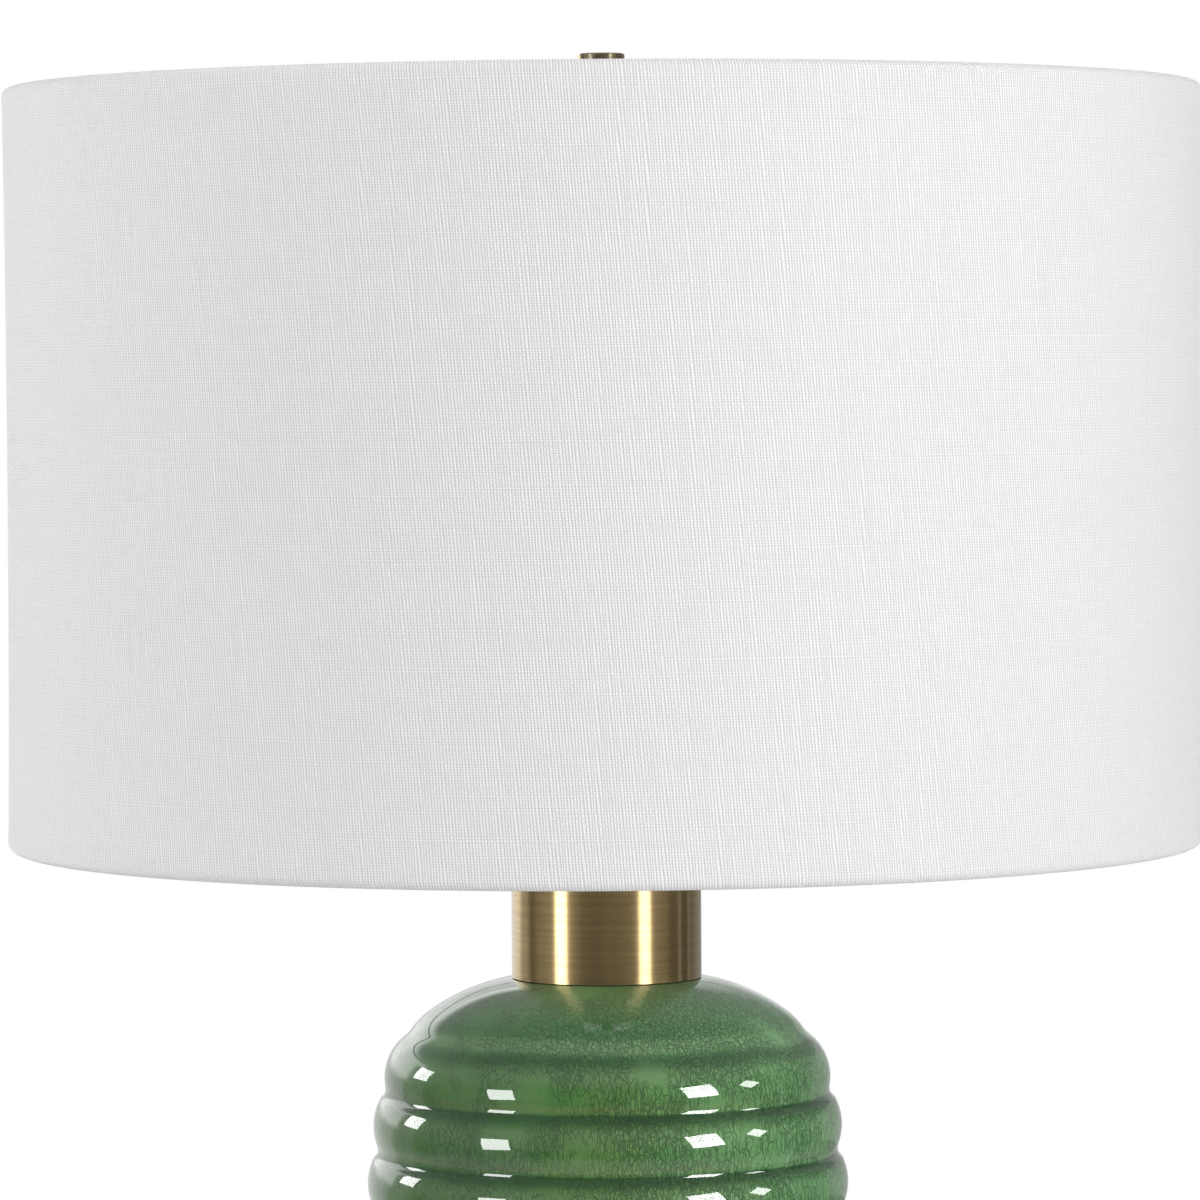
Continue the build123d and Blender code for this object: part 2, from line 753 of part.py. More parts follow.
with BuildPart() as bulb_insulator:
    with BuildSketch(Plane.XY.offset(bulb_cap_bottom)):
        Circle(bulb_cap_radius - 2 * bulb_cap_sheet)
    extrude(amount=-bulb_insulator_height, taper=bulb_insulator_taper)

with BuildPart() as bulb_tip:
    with BuildSketch(Plane.XY.offset(insulator_bottom)):
        Circle(bulb_tip_radius)
    extrude(amount=-bulb_tip_height, taper=bulb_tip_taper)

stem_top = bulb_cap_top + bulb_stem_height
filament_height = stem_top + bulb_lead_rise
with BuildPart() as bulb_stem:
    with BuildSketch(Plane.XY.offset(bulb_neck_bottom + bulb_glass)):
        Circle(bulb_neck_radius - 2 * bulb_glass)
    extrude(amount=bulb_glass)
    with BuildSketch(Plane.XY.offset(bulb_neck_bottom + bulb_glass)):
        Circle(bulb_stem_radius)
    extrude(amount=stem_top - bulb_neck_bottom - bulb_glass)

with BuildPart() as bulb_leads:
    for side in (-1, 1):
        with BuildLine(Plane.XZ) as lead:
            FilletPolyline(
                (side * bulb_stem_radius / 2, stem_top),
                (side * bulb_stem_radius / 2, stem_top + bulb_stem_radius),
                (side * bulb_lead_spread, filament_height),
                radius=bulb_stem_radius,
            )
        with BuildSketch(Plane.XY.offset(stem_top)):
            with Locations((side * bulb_stem_radius / 2, 0)):
                Circle(bulb_lead_radius)
        sweep(path=lead.wires()[0])

with BuildPart() as bulb_filament:
    with BuildLine(Plane.XZ.offset(bulb_lead_radius + filament_radius)) as sag:
        SagittaArc(
            (-bulb_lead_spread, filament_height - filament_radius),
            (bulb_lead_spread, filament_height - filament_radius),
            -filament_sag,
        )
    with BuildSketch(Plane(origin=sag.line @ 0, z_dir=sag.line % 0)):
        Circle(filament_radius)
    sweep(path=sag.wires()[0])

# ---------------------------------------------------------------- shade

# Linen over a styrene sheet. At each rim the linen rolls round a wire ring and is turned in.
styrene_radius = shade_radius - linen_thickness
wire_middle_radius = styrene_radius - styrene_thickness - ring_wire_radius
roll_radius = shade_radius - wire_middle_radius
top_wire = shade_top - roll_radius
bottom_wire = shade_bottom + roll_radius
styrene_inner_radius = styrene_radius - styrene_thickness
with BuildPart() as shade_styrene:
    with BuildSketch(Plane.XY.offset(bottom_wire)):
        Circle(styrene_radius)
        Circle(styrene_inner_radius, mode=Mode.SUBTRACT)
    extrude(amount=top_wire - bottom_wire)

# The roll leaves the wire on a tangent that runs to the styrene.
turn_angle = 30
roll_end_radius = wire_middle_radius - roll_radius * cos(radians(turn_angle))
turn_lap = (styrene_inner_radius - roll_end_radius) / sin(radians(turn_angle))
with BuildPart() as shade_linen:
    with BuildSketch(Plane.XZ):
        with BuildLine():
            wall = Line((shade_radius, bottom_wire), (shade_radius, top_wire))
            over = CenterArc((wire_middle_radius, top_wire), roll_radius, 0, 180 + turn_angle)
            PolarLine(over @ 1, turn_lap - linen_thickness / sin(radians(turn_angle)), turn_angle - 90)
            under = CenterArc((wire_middle_radius, bottom_wire), roll_radius, 0, -180 - turn_angle)
            PolarLine(under @ 1, turn_lap - linen_thickness / sin(radians(turn_angle)), 90 - turn_angle)
            offset(amount=linen_thickness, side=Side.LEFT)
        make_face()
    revolve(axis=Axis.Z)

rings = {}
for name, height in (("top_ring", top_wire), ("bottom_ring", bottom_wire)):
    with BuildPart() as ring:
        with BuildSketch(Plane.XZ):
            with Locations((wire_middle_radius, height)):
                Circle(ring_wire_radius)
        revolve(axis=Axis.Z)
    rings[name] = ring

# The shade hangs from a washer with a collar that holds the inner ends of three wire arms.
arm_height = seat_top + spider_arm_radius + hub_arm_lift
collar_inner_radius = finial_base_radius + hub_collar_gap
with BuildPart() as spider_hub:
    with BuildSketch(Plane.XY.offset(seat_top)):
        Circle(hub_radius)
    extrude(amount=hub_thickness)
    with BuildSketch(Plane.XY.offset(seat_top)):
        Circle(hub_radius)
        Circle(collar_inner_radius, mode=Mode.SUBTRACT)
    extrude(amount=2 * (arm_height - seat_top))
    with BuildSketch(Plane.XY.offset(seat_top)):
        Circle(stud_radius + hub_hole_fit)
    extrude(amount=hub_thickness, mode=Mode.SUBTRACT)
    for angle in spider_angles:
        with BuildSketch(Plane(origin=(0, 0, arm_height), z_dir=Vector(1, 0, 0).rotate(Axis.Z, angle))):
            Circle(spider_arm_radius)
        extrude(amount=2 * hub_radius, mode=Mode.SUBTRACT)

arm_start = (collar_inner_radius + hub_radius) / 2
arm_bend = wire_middle_radius - spider_step
with BuildPart() as spider_arms:
    for angle in spider_angles:
        outward = Plane.XZ.rotated((0, 0, angle))
        with BuildLine(outward) as arm_path:
            FilletPolyline(
                (arm_start, arm_height),
                (arm_bend, arm_height),
                (wire_middle_radius, top_wire),
                radius=spider_bend_radius,
            )
        with BuildSketch(Plane(origin=arm_path.line @ 0, z_dir=arm_path.line % 0)):
            Circle(spider_arm_radius)
        sweep(path=arm_path.wires()[0])
    with BuildSketch(Plane.XZ):
        with Locations((wire_middle_radius, top_wire)):
            Circle(ring_wire_radius)
    revolve(axis=Axis.Z, mode=Mode.SUBTRACT)

# Where an arm comes through, the turned-in linen is cut away.
with shade_linen:
    for angle in spider_angles:
        inner_edge = wire_middle_radius - roll_radius
        lift = (top_wire - arm_height) / spider_step * (wire_middle_radius - inner_edge)
        slot_plane = Plane(
            origin=Vector(inner_edge, 0, top_wire - lift).rotate(Axis.Z, angle),
            z_dir=Vector(1, 0, (top_wire - arm_height) / spider_step).rotate(Axis.Z, angle),
        )
        with BuildSketch(slot_plane.offset(-roll_radius)):
            Circle(spider_arm_radius + notch_margin)
        extrude(amount=2 * roll_radius, mode=Mode.SUBTRACT)

# ---------------------------------------------------------------- finial

finial_top = hub_top + finial_height
finial_base_top = hub_top + finial_base_height
finial_head_bottom = finial_top - finial_head_height
base_step = finial_base_radius - finial_waist_radius
head_step = finial_radius - finial_waist_radius
finial_bore = stud_radius + running_fit
with BuildPart() as finial:
    with BuildSketch(Plane.XZ):
        with BuildLine():
            Polyline(
                (finial_bore, hub_top),
                (finial_base_radius, hub_top),
                (finial_base_radius, finial_base_top),
            )
            RadiusArc(
                (finial_base_radius, finial_base_top),
                (finial_waist_radius, finial_base_top + base_step),
                base_step,
            )
            Line(
                (finial_waist_radius, finial_base_top + base_step),
                (finial_waist_radius, finial_head_bottom - head_step),
            )
            RadiusArc(
                (finial_waist_radius, finial_head_bottom - head_step),
                (finial_radius, finial_head_bottom),
                head_step,
            )
            Polyline(
                (finial_radius, finial_head_bottom),
                (finial_radius, finial_top - finial_chamfer),
                (finial_radius - finial_chamfer, finial_top),
                (0, finial_top),
                (0, finial_top - finial_top_thickness),
                (finial_bore, finial_top - finial_top_thickness),
                (finial_bore, hub_top),
            )
        make_face()
    revolve(axis=Axis.Z)

# ---------------------------------------------------------------- the pieces

pieces = {
    "foot_pads": foot_pads,
    "foot_cover": foot_cover,
    "brass_foot": brass_foot,
    "cord_bushing": cord_bushing,
    "foot_weight": foot_weight,
    "bottom_washer": bottom_washer,
    "bottom_nut": bottom_nut,
    "threaded_pipe": threaded_pipe,
    "foot_gasket": foot_gasket,
    "jar": jar,
    "neck_gasket": neck_gasket,
    "neck_washer": neck_washer,
    "neck_tube": neck_tube,
    "neck_cap": neck_cap,
    "harp_saddle": harp_saddle,
    "lock_nut": lock_nut,
    "socket_cap": socket_cap,
    "set_screw": set_screw,
    "socket_shell": socket_shell,
    "paper_liner": paper_liner,
    "socket_body": socket_body,
    "terminal_screws": terminal_screws,
    "screw_shell": screw_shell,
    "centre_contact": centre_contact,
    "switch_shaft": switch_shaft,
    "switch_knob": switch_knob,
    "bulb_envelope": bulb_envelope,
    "bulb_cap": bulb_cap,
    "bulb_insulator": bulb_insulator,
    "bulb_tip": bulb_tip,
    "bulb_stem": bulb_stem,
    "bulb_leads": bulb_leads,
    "bulb_filament": bulb_filament,
    "harp": harp,
    "harp_stud": harp_stud,
    "spider_hub": spider_hub,
    "spider_arms": spider_arms,
    "shade_styrene": shade_styrene,
    "shade_linen": shade_linen,
    "finial": finial,
}
pieces.update(ferrules)
pieces.update(rings)

os.makedirs("parts", exist_ok=True)
for name, piece in pieces.items():
    piece.part.label = name
    export_step(piece.part, f"parts/{name}.step")
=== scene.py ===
"""Looks of a ginger jar table lamp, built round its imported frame. Metres, +Z up, the front is -Y."""

from math import atan2, cos, pi, radians, sin, sqrt

import bmesh
import bpy
from mathutils import Matrix, Vector


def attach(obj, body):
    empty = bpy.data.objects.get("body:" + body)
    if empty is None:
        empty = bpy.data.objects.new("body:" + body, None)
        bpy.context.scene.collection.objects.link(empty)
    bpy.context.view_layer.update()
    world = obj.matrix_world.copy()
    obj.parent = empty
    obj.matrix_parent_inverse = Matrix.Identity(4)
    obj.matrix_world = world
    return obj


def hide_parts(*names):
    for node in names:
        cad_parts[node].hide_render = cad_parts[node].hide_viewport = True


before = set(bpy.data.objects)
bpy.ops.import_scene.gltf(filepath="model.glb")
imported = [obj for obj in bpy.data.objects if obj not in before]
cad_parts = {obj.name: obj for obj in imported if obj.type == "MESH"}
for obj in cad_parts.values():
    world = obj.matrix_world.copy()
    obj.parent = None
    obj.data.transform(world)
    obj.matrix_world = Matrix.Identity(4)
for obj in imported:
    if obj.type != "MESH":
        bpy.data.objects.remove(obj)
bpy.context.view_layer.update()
mm = 0.001

# ---------------------------------------------------------------- outlines, as (radius, height) in mm


def turned_arc(middle, radius, start, end, count):
    """Points on an arc; the angles are in degrees, from straight out towards up."""
    turns = [radians(start + (end - start) * n / (count - 1)) for n in range(count)]
    return [(middle[0] + radius * cos(t), middle[1] + radius * sin(t)) for t in turns]


def bulged(start, end, bulge, count, trims=(0.0, 0.0)):
    """Points on an arc that stands out to the left of its run by bulge, less a length at each end."""
    start, end = Vector(start), Vector(end)
    chord = end - start
    half = 2 * atan2(2 * bulge, chord.length)
    radius = chord.length / (2 * sin(half))
    along = chord.normalized()
    out = Vector((-along.y, along.x))
    middle = (start + end) / 2 - out * radius * cos(half)
    first, last = trims[0] / radius - half, half - trims[1] / radius
    turns = [first + (last - first) * n / (count - 1) for n in range(count)]
    return [tuple(middle + (out * cos(t) + along * sin(t)) * radius) for t in turns]


def eased_corner(start, corner, end, count):
    """Points of the curve that rounds a corner, without its two ends."""
    points = []
    for n in range(1, count + 1):
        t = n / (count + 1)
        weights = ((1 - t) ** 2, 2 * t * (1 - t), t**2)
        points.append(
            tuple(sum(w * p[axis] for w, p in zip(weights, (start, corner, end))) for axis in (0, 1))
        )
    return points


# ---------------------------------------------------------------- meshes


def finished(bm, name, sharp=35.0):
    """An object from a bmesh in mm, smooth but for its edges over the sharp angle."""
    bmesh.ops.scale(bm, vec=(mm, mm, mm), verts=bm.verts)
    mesh = bpy.data.meshes.new(name)
    bm.to_mesh(mesh)
    bm.free()
    mesh.shade_smooth()
    mesh.set_sharp_from_angle(angle=radians(sharp))
    piece = bpy.data.objects.new(name, mesh)
    bpy.context.scene.collection.objects.link(piece)
    return piece


def spun(outline, steps, closed=True, turn=360.0, start=0.0):
    """A bmesh of revolution about the lamp's axis."""
    bm = bmesh.new()
    verts = [bm.verts.new((radius, 0, height)) for radius, height in outline]
    pairs = list(zip(verts, verts[1:]))
    if closed:
        pairs.append((verts[-1], verts[0]))
    edges = [bm.edges.new(pair) for pair in pairs]
    bmesh.ops.rotate(bm, verts=verts, cent=(0, 0, 0), matrix=Matrix.Rotation(radians(start), 3, "Z"))
    bmesh.ops.spin(
        bm,
        geom=verts + edges,
        cent=(0, 0, 0),
        axis=(0, 0, 1),
        angle=radians(turn),
        steps=steps,
        use_merge=turn == 360,
    )
    bmesh.ops.remove_doubles(bm, verts=bm.verts, dist=1e-5)
    bmesh.ops.recalc_face_normals(bm, faces=bm.faces)
    return bm


def place(piece, body, slot, material, *nodes):
    """Puts a piece on its body in its finish, in place of the CAD nodes that it stands for."""
    piece.data.materials.clear()
    piece.data.materials.append(material)
    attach(piece, body)
    if nodes:
        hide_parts(*nodes)
    return piece


# ---------------------------------------------------------------- shader trees


def screen(red, green, blue):
    """A colour given by its 0 to 255 screen values."""
    values = []
    for value in (red, green, blue):
        value /= 255
        values.append(value / 12.92 if value <= 0.04045 else ((value + 0.055) / 1.055) ** 2.4)
    return (*values, 1.0)


def socket_name(key):
    """A socket's label from its plain name."""
    return key.replace("_", " ").title().replace("Ior", "IOR")


class Tree:
    """Adds nodes to a shader tree. An input takes a socket or a plain value."""

    def __init__(self, tree):
        self.tree = tree

    def link(self, value, socket):
        self.tree.links.new(value, socket)

    def fill(self, socket, value):
        """Links an input to a socket, or sets it to a plain value."""
        if isinstance(value, bpy.types.NodeSocket):
            self.link(value, socket)
        else:
            socket.default_value = value

    def node(self, kind, inputs=None, **settings):
        made = self.tree.nodes.new(kind)
        for key, value in settings.items():
            setattr(made, key, value)
        for key, value in (inputs or {}).items():
            self.fill(made.inputs[key], value)
        return made

    def math(self, operation, *values):
        return self.node("ShaderNodeMath", dict(enumerate(values)), operation=operation).outputs[0]

    def plus(self, first, second):
        return self.math("ADD", first, second)

    def less(self, first, second):
        return self.math("SUBTRACT", first, second)

    def times(self, first, second):
        return self.math("MULTIPLY", first, second)

    def over(self, first, second):
        return self.math("DIVIDE", first, second)

    def most(self, first, second):
        return self.math("MAXIMUM", first, second)

    def scaled(self, value, factor, start):
        """A value times a factor, on top of a start."""
        return self.math("MULTIPLY_ADD", value, factor, start)

    def vector_math(self, operation, inputs, output="Vector"):
        return self.node("ShaderNodeVectorMath", inputs, operation=operation).outputs[output]

    def mix(self, factor, first, second):
        inputs = {0: factor, 6: first, 7: second}
        return self.node("ShaderNodeMix", inputs, data_type="RGBA").outputs[2]

    def step(self, value, low, high, to_low=0.0, to_high=1.0):
        """A smooth step of a value between two limits."""
        inputs = {"Value": value, 1: low, 2: high, 3: to_low, 4: to_high}
        return self.node("ShaderNodeMapRange", inputs, interpolation_type="SMOOTHSTEP").outputs[0]

    def band(self, value, start, full, fade, end):
        """A smooth band of a value: it rises from start to full, and fades out by its end."""
        return self.times(self.step(value, start, full), self.step(value, end, fade))

    def place(self):
        return self.node("ShaderNodeTexCoord").outputs["Object"]

    def mapped(self, vector, scale):
        return self.node("ShaderNodeMapping", {"Vector": vector, "Scale": scale}).outputs[0]

    def split(self, vector):
        return self.node("ShaderNodeSeparateXYZ", {0: vector}).outputs

    def joined(self, x, y, z):
        return self.node("ShaderNodeCombineXYZ", {0: x, 1: y, 2: z}).outputs[0]

    def noise(self, vector, scale, detail=2.0, roughness=0.5, distortion=0.0, output=0):
        inputs = {
            "Vector": vector,
            "Scale": scale,
            "Detail": detail,
            "Roughness": roughness,
            "Distortion": distortion,
        }
        return self.node("ShaderNodeTexNoise", inputs).outputs[output]

    def bump(self, height, distance):
        return self.node("ShaderNodeBump", {"Height": height, "Distance": distance}).outputs[0]

    def effect(self, effect, **inputs):
        """An effect's outputs, with its inputs given by their plain names."""
        made = self.tree.nodes.new("ShaderNodeGroup")
        made.node_tree = effect
        for key, value in inputs.items():
            self.fill(made.inputs[socket_name(key)], value)
        return made.outputs


def effect_tree(name, inputs, outputs):
    """A new effect: its tree, its input sockets, its output sockets and the effect itself."""
    group = bpy.data.node_groups.new(name, "ShaderNodeTree")
    for label, kind, value in inputs:
        socket = group.interface.new_socket(name=label, in_out="INPUT", socket_type="NodeSocket" + kind)
        if value is not None:
            socket.default_value = value
    for label, kind in outputs:
        group.interface.new_socket(name=label, in_out="OUTPUT", socket_type="NodeSocket" + kind)
    tree = Tree(group)
    entry = tree.node("NodeGroupInput").outputs
    end = tree.node("NodeGroupOutput").inputs
    return tree, entry, end, group


def material(name, **settings):
    """A new material: its tree and its shader, with the settings that are the same all over."""
    made = bpy.data.materials.new(name)
    made.use_nodes = True
    shader = made.node_tree.nodes["Principled BSDF"]
    for key, value in settings.items():
        shader.inputs[socket_name(key)].default_value = value
    return made, Tree(made.node_tree), shader


def wire(tree, shader, **sockets):
    """Links what changes over the surface to the shader's sockets."""
    for key, value in sockets.items():
        tree.link(value, shader.inputs[socket_name(key)])


# ---------------------------------------------------------------- effects that finishes share

# Fine lines round the axis, on walls and on flat faces alike.
tree, entry, end, brushing = effect_tree(
    "brushing",
    [("Place", "Vector", None), ("Lines", "Float", 9000.0), ("Around", "Float", 4.0)],
    [("Height", "Float"), ("Streaks", "Float")],
)
x, y, z = tree.split(entry["Place"])
radius = tree.math("SQRT", tree.plus(tree.times(x, x), tree.times(y, y)))
safe_radius = tree.most(radius, 0.0001)
round_x = tree.times(tree.over(x, safe_radius), entry["Around"])
round_y = tree.times(tree.over(y, safe_radius), entry["Around"])
across = tree.plus(z, radius)
coarse_share = 0.17
fine_place = tree.joined(round_x, round_y, tree.times(across, entry["Lines"]))
coarse_place = tree.joined(round_x, round_y, tree.times(across, tree.times(entry["Lines"], coarse_share)))
fine_lines = tree.noise(fine_place, 1.0, 2.0, 0.6)
coarse_lines = tree.noise(coarse_place, 1.0, 1.0, 0.5)
tree.link(tree.plus(tree.times(fine_lines, 0.6), tree.times(coarse_lines, 0.4)), end["Height"])
tree.link(tree.step(coarse_lines, 0.35, 0.65), end["Streaks"])

# Soft uneven patches, as handling and lacquer leave.
tree, entry, end, patches = effect_tree(
    "patches", [("Place", "Vector", None), ("Size", "Float", 60.0)], [("Value", "Float")]
)
broad = tree.noise(entry["Place"], entry["Size"], 4.0, 0.6, 0.4)
tree.link(tree.step(broad, 0.3, 0.7), end["Value"])

# Two sets of threads that pass over and under each other. U and V count threads.
tree, entry, end, weave = effect_tree(
    "weave",
    [("U", "Float", 0.0), ("V", "Float", 0.0), ("Weft Share", "Float", 0.75), ("Slubs", "Float", 0.2)],
    [("Height", "Float"), ("Shade", "Float"), ("Thread", "Float")],
)
along_thread = 0.045
warp_number = tree.math("FLOOR", entry["U"])
weft_number = tree.math("FLOOR", entry["V"])
across_warp = tree.math("SINE", tree.times(tree.math("FRACT", entry["U"]), pi))
across_weft = tree.math("SINE", tree.times(tree.math("FRACT", entry["V"]), pi))
parity = tree.math("PINGPONG", tree.plus(warp_number, weft_number), 1.0)
warp_place = tree.joined(tree.times(warp_number, 7.31), tree.times(entry["V"], along_thread), 0.0)
weft_place = tree.joined(tree.times(weft_number, 5.17), tree.times(entry["U"], along_thread), 9.0)
warp_slub = tree.noise(warp_place, 1.0, 2.0, 0.6)
weft_slub = tree.noise(weft_place, 1.0, 2.0, 0.6)
warp_top = tree.times(across_warp, tree.scaled(across_weft, 0.35, 0.65))
weft_top = tree.times(across_weft, tree.scaled(across_warp, 0.35, 0.65))
weft_top = tree.times(weft_top, entry["Weft Share"])
warp_top = tree.times(warp_top, tree.scaled(tree.less(warp_slub, 0.5), entry["Slubs"], 1.0))
weft_top = tree.times(weft_top, tree.scaled(tree.less(weft_slub, 0.5), entry["Slubs"], 1.0))
warp_over = tree.times(tree.most(warp_top, tree.times(across_weft, 0.25)), tree.less(1.0, parity))
weft_over = tree.times(tree.most(weft_top, tree.times(across_warp, 0.68)), parity)
height = tree.plus(warp_over, weft_over)
tree.link(height, end["Height"])
# Painted shade: the gaps between threads get a low value and the thread tops a high one.
tree.link(tree.step(height, 0.05, 0.8), end["Shade"])
tree.link(tree.less(tree.plus(warp_slub, weft_slub), 0.5), end["Thread"])

# Fine grain of cast, moulded and pressed surfaces.
tree, entry, end, grain = effect_tree(
    "grain",
    [("Place", "Vector", None), ("Size", "Float", 900.0)],
    [("Height", "Float"), ("Spots", "Float")],
)
small = tree.noise(entry["Place"], entry["Size"], 3.0, 0.65)
large = tree.noise(entry["Place"], tree.times(entry["Size"], 0.18), 2.0, 0.5)
tree.link(tree.plus(tree.times(small, 0.7), tree.times(large, 0.3)), end["Height"])
tree.link(tree.step(large, 0.35, 0.65), end["Spots"])

# ---------------------------------------------------------------- finishes


def turned_metal(name, light, dark, roughness, lines, around, depth, brushed=0.0, worn=0.35, lacquer=0.0):
    """Metal brushed or turned round the axis."""
    made, tree, shader = material(
        name,
        metallic=1.0,
        anisotropic=brushed,
        anisotropic_rotation=0.25,
        coat_weight=lacquer,
        coat_roughness=0.17,
    )
    spot = tree.place()
    marks = tree.effect(brushing, place=spot, lines=lines, around=around)
    dull = tree.effect(patches, place=spot, size=45.0)["Value"]
    tint = tree.mix(tree.times(marks["Streaks"], 0.6), light, dark)
    tint = tree.mix(tree.times(dull, worn), tint, dark)
    rough = tree.plus(tree.times(dull, worn * 0.15), tree.scaled(marks["Streaks"], 0.02, roughness))
    wire(tree, shader, base_color=tint, roughness=rough, normal=tree.bump(marks["Height"], depth))
    if brushed:
        tangent = tree.node("ShaderNodeTangent", direction_type="RADIAL", axis="Z").outputs[0]
        wire(tree, shader, tangent=tangent)
    return made


brushed_brass = turned_metal(
    "brushed_brass",
    screen(213, 184, 127),
    screen(193, 164, 109),
    roughness=0.22,
    lines=5600.0,
    around=0.7,
    depth=0.0000013,
    brushed=0.85,
    worn=0.06,
    lacquer=0.85,
)
polished_brass = turned_metal(
    "polished_brass",
    screen(212, 197, 163),
    screen(182, 166, 134),
    roughness=0.11,
    lines=7000.0,
    around=1.5,
    depth=0.000001,
    brushed=0.4,
)
socket_brass = turned_metal(
    "socket_brass",
    screen(210, 182, 126),
    screen(188, 159, 105),
    roughness=0.28,
    lines=6000.0,
    around=1.5,
    depth=0.000003,
)
zinc_steel = turned_metal(
    "zinc_steel",
    screen(176, 178, 180),
    screen(150, 152, 156),
    roughness=0.34,
    lines=4000.0,
    around=1.2,
    depth=0.000006,
)
cap_aluminium = turned_metal(
    "cap_aluminium",
    screen(205, 206, 208),
    screen(180, 181, 184),
    roughness=0.3,
    lines=5000.0,
    around=1.2,
    depth=0.000003,
)
switch_steel = turned_metal(
    "switch_steel",
    screen(190, 188, 184),
    screen(160, 158, 154),
    roughness=0.3,
    lines=5000.0,
    around=1.0,
    depth=0.000003,
)


def drawn_metal(name, light, dark, roughness):
    """Drawn wire or strip: fine lengthwise grain with dulled patches."""
    made, tree, shader = material(name, metallic=1.0)
    spot = tree.place()
    marks = tree.effect(grain, place=tree.mapped(spot, (1, 1, 0.15)), size=1400.0)
    dull = tree.effect(patches, place=spot, size=70.0)["Value"]
    tint = tree.mix(tree.times(dull, 0.6), light, dark)
    rough = tree.scaled(dull, 0.12, roughness)
    wire(tree, shader, base_color=tint, roughness=rough, normal=tree.bump(marks["Height"], 0.00002))
    return made


spider_brass = drawn_metal("spider_brass", screen(206, 180, 128), screen(176, 149, 100), 0.28)
harp_brass = drawn_metal("harp_brass", screen(206, 180, 128), screen(176, 149, 100), 0.25)
ring_wire = drawn_metal("ring_wire", screen(236, 234, 228), screen(214, 210, 202), 0.4)
lead_wire = drawn_metal("lead_wire", screen(170, 164, 156), screen(130, 124, 118), 0.35)
solder = drawn_metal("solder", screen(186, 188, 190), screen(140, 142, 146), 0.45)


def moulded(name, light, dark, roughness, size=1100.0, depth=0.00003):
    """Rubber, board, plastic or cast surfaces: a fine grain with uneven tone."""
    made, tree, shader = material(name)
    spot = tree.place()
    marks = tree.effect(grain, place=spot, size=size)
    worn = tree.effect(patches, place=spot, size=90.0)["Value"]
    tint = tree.mix(tree.times(marks["Spots"], 0.5), light, dark)
    tint = tree.mix(tree.times(worn, 0.4), tint, dark)
    rough = tree.scaled(worn, 0.12, roughness)
    wire(tree, shader, base_color=tint, roughness=rough, normal=tree.bump(marks["Height"], depth))
    return made


cast_weight = moulded("cast_weight", screen(84, 82, 80), screen(60, 58, 57), 0.6, 500.0, 0.0002)
black_board = moulded("black_board", screen(46, 45, 44), screen(32, 31, 31), 0.85, 1500.0, 0.0001)
pad_rubber = moulded("pad_rubber", screen(52, 52, 53), screen(38, 38, 39), 0.75)
gasket_rubber = moulded("gasket_rubber", screen(44, 40, 34), screen(30, 28, 25), 0.7)
bushing_plastic = moulded("bushing_plastic", screen(34, 34, 35), screen(24, 24, 25), 0.4)
phenolic = moulded("phenolic", screen(58, 40, 32), screen(42, 29, 24), 0.35)
knob_plastic = moulded("knob_plastic", screen(32, 30, 29), screen(22, 21, 20), 0.3)
liner_board = moulded("liner_board", screen(168, 146, 110), screen(138, 116, 84), 0.9, 1500.0, 0.0001)
insulator = moulded("insulator", screen(40, 36, 58), screen(26, 24, 38), 0.12)
styrene_white = moulded("styrene_white", screen(238, 238, 236), screen(230, 230, 227), 0.45, 700.0, 0.00002)


def clear_glass(name, tint, ior):
    """Clear glass with faint streaks in its surface."""
    made, tree, shader = material(name, roughness=0.02, ior=ior, transmission_weight=1.0)
    spot = tree.place()
    dust = tree.effect(grain, place=spot, size=160.0)
    cloud = tree.effect(patches, place=spot, size=30.0)["Value"]
    colour = tree.mix(tree.times(cloud, 0.5), tint, screen(240, 240, 238))
    wire(tree, shader, base_color=colour, normal=tree.bump(dust["Height"], 0.00002))
    return made


bulb_glass = clear_glass("bulb_glass", screen(252, 252, 252), 1.48)
stem_glass = clear_glass("stem_glass", screen(246, 249, 247), 1.5)


def crazed(tree, spot, side):
    """Lines of crazing: fine cells drawn out upwards, in three sizes, that fade in and out in patches."""
    wobble = tree.noise(spot, 160.0, output="Color")
    wobble = tree.vector_math("SUBTRACT", {0: wobble, 1: (0.5, 0.5, 0.5)})
    wobble = tree.vector_math("SCALE", {0: wobble, "Scale": 0.003})
    patch = tree.less(tree.noise(spot, 40.0, 3.0, 0.55), tree.step(side, -0.06, 0.02, 0.12, 0.0))
    # Cells to the metre, their squash upwards, the lines' width, and the step of patch that lets them in.
    sizes = (
        (500.0, 0.2, 0.065, (0.26, 0.42)),
        (620.0, 0.42, 0.065, (0.38, 0.54, 0.0, 0.9)),
        (940.0, 0.26, 0.085, (0.28, 0.5, 0.15, 0.8)),
    )
    layers = []
    for scale, squash, width, fade in sizes:
        drawn = tree.vector_math("ADD", {0: tree.mapped(spot, (1.0, 1.0, squash)), 1: wobble})
        cells = {"Vector": drawn, "Scale": scale}
        gap = tree.node("ShaderNodeTexVoronoi", cells, feature="DISTANCE_TO_EDGE").outputs["Distance"]
        lines = tree.step(gap, width, 0.0)
        layers.append(tree.times(lines, tree.step(patch, *fade)))
    return tree.most(tree.most(layers[0], layers[1]), layers[2])


